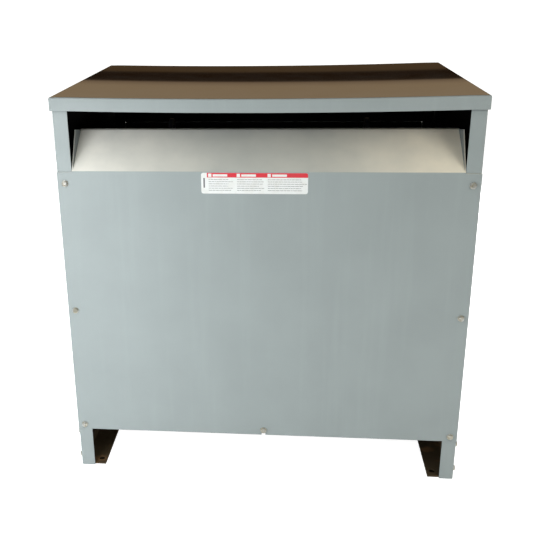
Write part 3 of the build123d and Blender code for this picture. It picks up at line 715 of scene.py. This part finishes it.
def roof_pan():
    """A folded pan with a dished top, open below, and its six studs."""
    low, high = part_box("roof")
    half_x, half_y, bottom, top = high.x, high.y, low.z, high.z
    steps_x, steps_y, arc_steps = 48, 28, 5
    mesh = bmesh.new()

    def ring(inset, height):
        radius = max(BEND - inset, 0.0)
        outline = rounded_outline(half_x - inset, half_y - inset, radius, steps_x, steps_y, arc_steps)
        return [Vector((*point, height)) for point in outline]

    def side(inset, bend, lip):
        """One face of the rim, from its softened lip up and round the bend."""
        face = [ring(lip, bottom), ring(inset, bottom + RIM_SOFT)]
        for angle in quarter_turn(arc_steps):
            inwards, upwards = bend * (1 - math.cos(angle)), bend * (1 - math.sin(angle))
            face.append(ring(inset + inwards, top - inset - upwards))
        return face

    outer = side(0, BEND, RIM_SOFT)
    inner = side(SHEET, BEND - SHEET, SHEET - RIM_SOFT)
    skin(mesh, outer)
    skin(mesh, inner[::-1])
    skin(mesh, [inner[0], outer[0]])
    places_x = [(half_x - BEND) * (2 * i / steps_x - 1) for i in range(steps_x + 1)]
    places_y = [(half_y - BEND) * (2 * j / steps_y - 1) for j in range(steps_y + 1)]
    for height, faces_up in ((top, True), (top - SHEET, False)):
        grid = [[mesh.verts.new((x, y, height)) for x in places_x] for y in places_y]
        for near, far in zip(grid, grid[1:]):
            for i in range(steps_x):
                corners = (near[i], near[i + 1], far[i + 1], far[i])
                mesh.faces.new(corners if faces_up else corners[::-1])
    bmesh.ops.remove_doubles(mesh, verts=mesh.verts[:], dist=JOIN_GAP)
    for vertex in mesh.verts:
        vertex.co = dished(vertex.co, half_x)
    stud_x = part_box("roof_nuts")[1].x - STUD_NUT_REACH
    for x in (-stud_x, stud_x):
        for y in STUD_Y:
            seat = facing((x, y, top - SHEET), (0, 0, 1))
            thread(mesh, seat, STUD_R, STUD_L, STUD_PITCH, STUD_DEPTH)
    roof = piece_from("roof_dished", mesh, "enclosure", [roof_paint, oiled], ["roof"])
    level_shading(roof.data)


roof_pan()


# ---- Front label ----

WHITE, RED, INK = 0, 1, 2
FILM_CORNER, FILM_SOFT, FILM_MARGIN = 0.004, 0.00008, 0.0001
INK_LIFT, OVERPRINT_LIFT = 0.00002, 0.00004
SYMBOL_W, BAND_H = 0.0105, 0.0085
COLUMN_SHARES = (0.284, 0.589)
# A mark's left from the film's or column's left, its bottom below the film's top, its width and its height.
TALL_MARK = (0.004, 0.0275, 0.0028, 0.018)
BAND_MARKS = ((0.0024, 0.0076, 0.0058, 0.0060), (0.0106, 0.0068, 0.0262, 0.0042))
LINES, LINE_PITCH, LINE_DROP, LINE_INDENT, LINE_H = 6, 0.0040, 0.0042, 0.003, 0.0008
LINE_MARGIN, WORD_W, WORD_GAP = (0.002, 0.014), (0.002, 0.0075), 0.0009


def label():
    """White film with a red heading band, plain bars where lines of print would be, and no lettering."""
    low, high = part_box("front_label")
    back, face = high.y, low.y
    middle, half = (low + high) / 2, (high - low) / 2
    mesh = bmesh.new()
    rings = []
    for inset, y in ((0, back), (0, face + FILM_SOFT), (FILM_SOFT, face)):
        outline = rounded_outline(half.x - inset, half.z - inset, FILM_CORNER - inset)
        rings.append(upright(outline, middle, y))
    capped(mesh, rings)

    def print_on(corners, ink, lift=INK_LIFT):
        """A closed, hair-thin layer of ink that starts just inside the film."""
        layers = [[Vector((x, y, z)) for x, z in corners] for y in (face + lift, face - lift)]
        capped(mesh, layers, ink)

    def bar(left, bottom, width, height, ink, lift=INK_LIFT):
        right, top = left + width, bottom + height
        print_on([(left, bottom), (right, bottom), (right, top), (left, top)], ink, lift)

    def mark(start, offset, drop, width, height, ink, lift=INK_LIFT):
        bar(start + offset, high.z - drop, width, height, ink, lift)

    left, right, top = low.x + SYMBOL_W, high.x - FILM_MARGIN, high.z - FILM_MARGIN
    band_z = high.z - BAND_H
    turn = FILM_CORNER - FILM_MARGIN
    corner = [(right - turn * (1 - math.cos(a)), top - turn * (1 - math.sin(a))) for a in quarter_turn(6)]
    print_on([(left, band_z), (right, band_z), *corner, (left, top)], RED)
    mark(low.x, *TALL_MARK, INK)
    draw = random.Random("front_label")
    for start, share in zip((0, *COLUMN_SHARES), (*COLUMN_SHARES, 1)):
        column, column_end = (left + at * (right - left) for at in (start, share))
        for band_mark in BAND_MARKS:
            mark(column, *band_mark, WHITE, OVERPRINT_LIFT)
        for line in range(LINES):
            z = band_z - LINE_DROP - line * LINE_PITCH
            x, stop = column + LINE_INDENT, column_end - draw.uniform(*LINE_MARGIN)
            while x < stop:
                word = min(draw.uniform(*WORD_W), stop - x)
                bar(x, z, word, LINE_H, INK)
                x += word + WORD_GAP
    inks = [label_white, label_red, label_ink]
    piece_from("front_label_printed", mesh, "front_cover", inks, ["front_label"])


label()


# ---- Core yokes ----

PACKETS, PACKET_FILL, PACKET_CORNER = 40, 0.94, 0.0006
SLIP_X, SLIP_Z = 0.0005, 0.0004


def laminated_yoke(name):
    """A stack of steel sheets, each a hair off its neighbours."""
    low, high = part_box(name)
    middle, half = (low + high) / 2, (high - low) / 2
    draw = random.Random(name)
    pitch = (high.y - low.y) / PACKETS
    mesh = bmesh.new()
    for i in range(PACKETS):
        slip_x, slip_z = draw.uniform(0, SLIP_X), draw.uniform(0, SLIP_Z)
        y = low.y + i * pitch
        outline = rounded_outline(half.x - slip_x, half.z - slip_z, PACKET_CORNER, arc_steps=1)
        capped(mesh, [upright(outline, middle, end) for end in (y + pitch * PACKET_FILL, y)])
    piece_from(f"{name}_laminated", mesh, "enclosure", [core_varnish], [name])


laminated_yoke("core_lower_yoke")
laminated_yoke("core_upper_yoke")


# ---- High-voltage windings ----

COIL_BUILD, COIL_TURNS, WIRE_INSET = 0.030, 62, 0.0022
WIRE_GROOVE, WIRE_SHOULDER, SHOULDER_AT = 0.0007, 0.0001, 0.22
COLLAR_H, COLLAR_SOFT, COLLAR_SLOT = 0.012, 0.0008, 1


def wound_coil(name):
    """A layer of wire turns between two end collars."""
    low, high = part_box(name)
    middle, half = (low + high) / 2, (high - low) / 2
    corner = COIL_BUILD + BEND
    mesh = bmesh.new()

    def wrap(profile, material=0):
        """Takes a closed profile of (offset, height) round the winding."""
        rings = []
        for offset, height in profile:
            sizes = (half.x + offset, half.y + offset, corner + offset)
            outline = rounded_outline(*sizes, steps_x=6, steps_y=6, arc_steps=8)
            rings.append([Vector((middle.x + p.x, p.y, height)) for p in outline])
        skin(mesh, rings, closed=True, material=material)

    wire_low, wire_high = low.z + COLLAR_H, high.z - COLLAR_H
    pitch = (wire_high - wire_low) / COIL_TURNS
    groove, shoulder = -WIRE_INSET - WIRE_GROOVE, -WIRE_INSET - WIRE_SHOULDER
    profile = [(-COIL_BUILD, wire_high), (-COIL_BUILD, wire_low)]
    for i in range(COIL_TURNS):
        base = wire_low + i * pitch
        profile += [(groove, base), (shoulder, base + pitch * SHOULDER_AT)]
        profile += [(-WIRE_INSET, base + pitch / 2), (shoulder, base + pitch * (1 - SHOULDER_AT))]
    profile.append((groove, wire_high))
    wrap(profile)
    for bottom in (low.z, wire_high):
        top = bottom + COLLAR_H
        back = [(-COIL_BUILD, top), (-COIL_BUILD, bottom)]
        front = [(-COLLAR_SOFT, bottom), (0, bottom + COLLAR_SOFT)]
        front += [(0, top - COLLAR_SOFT), (-COLLAR_SOFT, top)]
        wrap(back + front, COLLAR_SLOT)
    piece_from(f"{name}_wound", mesh, "enclosure", [hv_wire, collar_tan], [name])


for phase in "abc":
    wound_coil(f"hv_winding_{phase}")


# ---- Floor, world and lights ----

FLOOR_RADIUS, FLOOR_DROP, FLOOR_GLOW = 120, 0.0002, 0.92
OPEN_FLOOR, RAIL_SHADE = (0.8, 0.8, 0.8, 1), (0.02, 0.015, 0.01, 1)
RAIL_MIDDLE, RAIL_REACH = 0.3525, 0.024
# The wall's heights are rises over runs, from its foot in WALL_BANDS.
# Those in UPPER_ROOM and FRONT_SKY are degrees.
WALL_LOW, WALL_HIGH, WALL_ARCH, NEAREST_WALL = 0.10, 0.16, -0.06, 0.02
ZENITH = 90
WALL_BANDS = [
    (0.0, (0.095, 0.054, 0.024)),
    (0.0175, (0.080, 0.046, 0.020)),
    (0.0195, (0.010, 0.003, 0.0005)),
    (0.0298, (0.010, 0.003, 0.0005)),
    (0.0312, (0.26, 0.175, 0.105)),
    (0.0360, (0.37, 0.26, 0.150)),
    (0.0600, (0.42, 0.305, 0.185)),
]
UPPER_ROOM = [
    (0, (0.02, 0.013, 0.008)),
    (9.5, (0.36, 0.26, 0.16)),
    (14, (0.14, 0.11, 0.07)),
    (35, (0.06, 0.055, 0.05)),
    (90, (0.03, 0.03, 0.03)),
]
FRONT_SKY = [
    (0, (0.38, 0.39, 0.40)),
    (12, (0.49, 0.50, 0.495)),
    (26, (0.59, 0.58, 0.56)),
    (40, (0.64, 0.63, 0.59)),
    (60, (0.62, 0.60, 0.55)),
    (90, (0.22, 0.215, 0.20)),
]
LEAN_REACH, ROOM_EDGES = 0.9, (-0.15, 0.2)
SKY_LEAN = [(0.0, (1.1, 1.13, 1.15)), (0.45, (0.95, 0.98, 0.97)), (1.0, (0.85, 0.84, 0.80))]
BLUISH, CYAN, PALE_CYAN = (0.95, 0.98, 1), (0.95, 1, 1), (0.98, 1, 1)
CREAM, AMBER = (1, 0.98, 0.94), (1, 0.975, 0.90)
# A light's name, place, target, width and height, watts, colour, and whether it shows in reflections.
LIGHTS = [
    ("key", (-0.52, -0.78, 0.55), (-0.35, -0.25, 0.5), (0.3, 1.0), 3.9, BLUISH, False),
    ("glint", (-0.6, -0.9, 0.55), (-0.3, -0.25, 0.4), (0.14, 0.3), 0.5, PALE_CYAN, True),
    ("front", (0.95, -1.1, 1.2), (0.3, -0.25, 0.4), (0.5, 0.4), 4.4, AMBER, False),
    ("low", (0.2, -1.05, 0.03), (0.15, -0.25, 0.25), (2.2, 0.05), 2.3, CYAN, False),
    ("back", (0.7, 2.1, 0.55), (0, 0.2, 0.4), (1.2, 0.4), 45, CREAM, False),
    ("right", (2.2, 0.5, 0.5), (0.38, 0.1, 0.4), (1.2, 0.5), 32, CREAM, False),
    ("left", (-2.2, 0.5, 0.5), (-0.38, 0.1, 0.4), (1.2, 0.5), 50, BLUISH, False),
]


def pale_floor(name):
    """A plain pale surface, with a painted shadow right under the base rails."""
    pale = Finish(name, {"Roughness": 0.9, "Specular IOR Level": 0.0, "Emission Color": (1, 1, 1, 1)})
    off_middle = pale.math("ABSOLUTE", pale.math("SUBTRACT", pale.distance("X"), RAIL_MIDDLE))
    beside = pale.math("GREATER_THAN", off_middle, RAIL_REACH)
    beyond = pale.math("GREATER_THAN", pale.distance("Y"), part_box("base_rail_right")[1].y)
    open_floor = pale.math("MAXIMUM", beside, beyond)
    seen = pale.add("ShaderNodeLightPath").outputs["Is Camera Ray"]
    return pale.finish(
        colour=pale.mix(open_floor, RAIL_SHADE, OPEN_FLOOR),
        glow=pale.product(seen, open_floor, FLOOR_GLOW),
    )


def stage_floor():
    """A floor that runs on past the horizon."""
    mesh = bmesh.new()
    bmesh.ops.create_circle(mesh, cap_ends=True, segments=96, radius=FLOOR_RADIUS)
    data = bpy.data.meshes.new("floor")
    mesh.to_mesh(data)
    mesh.free()
    floor = bpy.data.objects.new("floor", data)
    floor.location.z = -FLOOR_DROP
    bpy.context.scene.collection.objects.link(floor)
    data.materials.append(pale_floor("floor_pale"))


def room_behind(sky, axes, height):
    """A dim room with an upright wall, so that the bands which the roof mirrors run level."""
    ahead = sky.math("MAXIMUM", axes["Y"], NEAREST_WALL)
    sides_dirt_and_lighting = sky.math("DIVIDE", axes["X"], ahead)
    arch = sky.product(sides_dirt_and_lighting, sides_dirt_and_lighting, WALL_ARCH)
    rise = sky.math("SUBTRACT", sky.math("DIVIDE", axes["Z"], ahead), arch)
    bands = sky.ramp(sky.remap(rise, WALL_LOW, WALL_HIGH), WALL_BANDS, WALL_HIGH - WALL_LOW)
    on_wall = sky.product(
        sky.math("GREATER_THAN", rise, WALL_LOW),
        sky.math("LESS_THAN", rise, WALL_HIGH),
    )
    return sky.mix(on_wall, sky.ramp(height, UPPER_ROOM, ZENITH), bands)


def room_in_front(sky, axes, height):
    """A pale room, paler and cooler on the left."""
    lean = sky.ramp(sky.remap(axes["X"], -LEAN_REACH, LEAN_REACH), SKY_LEAN, 1)
    return sky.mix(1.0, sky.ramp(height, FRONT_SKY, ZENITH), lean, "MULTIPLY")


def studio_world():
    """The rooms light the object and show in it; the camera sees a white backdrop."""
    world = bpy.data.worlds.new("studio")
    bpy.context.scene.world = world
    world.use_nodes = True
    sky = Shader(world.node_tree)
    sky.tree.nodes.clear()
    direction = sky.add("ShaderNodeTexCoord").outputs["Generated"]
    axes = sky.add("ShaderNodeSeparateXYZ", {0: direction}).outputs
    height = sky.remap(sky.math("ARCSINE", axes["Z"]), 0.0, math.pi / 2)
    behind = sky.remap(axes["Y"], *ROOM_EDGES)
    lit = sky.mix(behind, room_in_front(sky, axes, height), room_behind(sky, axes, height))
    seen = sky.add("ShaderNodeLightPath").outputs["Is Camera Ray"]
    background = sky.add("ShaderNodeBackground", {"Color": sky.mix(seen, lit, (1, 1, 1, 1))})
    sky.add("ShaderNodeOutputWorld", {0: background.outputs[0]})


def area_light(name, place, target, size, power, colour, shines):
    data = bpy.data.lights.new(name, "AREA")
    data.shape = "RECTANGLE"
    data.size, data.size_y = size
    data.energy = power
    data.color = colour
    light = bpy.data.objects.new(name, data)
    light.location = place
    light.rotation_mode = "QUATERNION"
    light.rotation_quaternion = (Vector(target) - Vector(place)).to_track_quat("-Z", "Y")
    light.visible_camera = False
    light.visible_glossy = shines
    bpy.context.scene.collection.objects.link(light)


stage_floor()
studio_world()
for light in LIGHTS:
    area_light(*light)

scene = bpy.context.scene
scene.view_settings.view_transform = "Standard"
